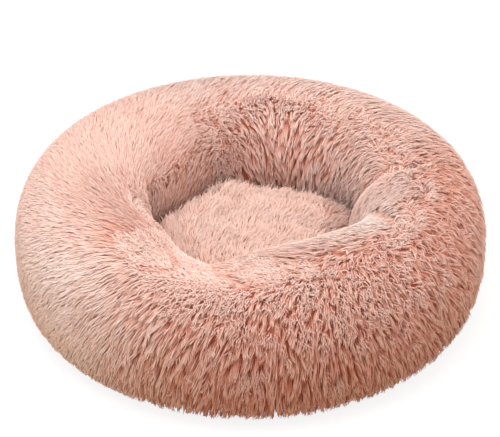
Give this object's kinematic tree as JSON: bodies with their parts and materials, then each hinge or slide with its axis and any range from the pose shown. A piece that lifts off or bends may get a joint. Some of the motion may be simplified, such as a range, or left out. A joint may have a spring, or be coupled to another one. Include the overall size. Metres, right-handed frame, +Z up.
{
  "type": "donut pet bed",
  "caption": "Round plush pet bed: a long-pile ring bolster round a lift-out seat cushion, on a flat gripping base with a zip round its lower back seam.",
  "frame": {"origin": "centre of the footprint, on the floor under the grip spots", "axes": "+Z up through the middle of the nest, -Y towards the pictured front, zip round the +Y back"},
  "size_m": [0.6006, 0.6006, 0.1838],
  "materials": {
    "ring_pile": "matte",
    "seat_pile": "matte",
    "nonwoven": "matte",
    "fibre": "matte",
    "coated_cloth": "satin",
    "tape_cloth": "matte",
    "nylon": "satin",
    "zinc": "satin",
    "label_cloth": "satin"
  },
  "bodies": {
    "bed": {"ring_cover": "ring_pile", "ring_liner": "nonwoven", "liner_closing_tape": "tape_cloth", "ring_fill": "fibre", "base_wadding": "fibre", "base_panel": "coated_cloth", "floor_lining": "nonwoven", "base_seam_binding": "tape_cloth", "care_label": "label_cloth", "zip_tape_upper": "tape_cloth", "zip_tape_lower": "tape_cloth", "zip_coil_upper": "nylon", "zip_coil_lower": "nylon", "zip_top_stop": "zinc", "zip_bottom_stop": "zinc"},
    "seat_cushion": {"seat_cover_top": "seat_pile", "seat_cover_base": "coated_cloth", "seat_fill": "fibre"},
    "zip_slider": {"zip_slider": "zinc"},
    "zip_pull": {"zip_pull": "zinc"}
  },
  "joints": [
    {"name": "cushion_lift", "type": "slide", "parent": "bed", "child": "seat_cushion", "axis": [0, 0, 1], "range_m": [0, 0.2]},
    {"name": "zip_travel", "type": "hinge", "parent": "bed", "child": "zip_slider", "pos_m": [0, 0, 0.024], "axis": [0, 0, 1], "range_deg": [0, 138]},
    {"name": "pull_swing", "type": "hinge", "parent": "zip_slider", "child": "zip_pull", "pos_m": [0.26197, 0.0994, 0.02281], "axis": [0, 0, -1], "range_deg": [0, 150]}
  ]
}
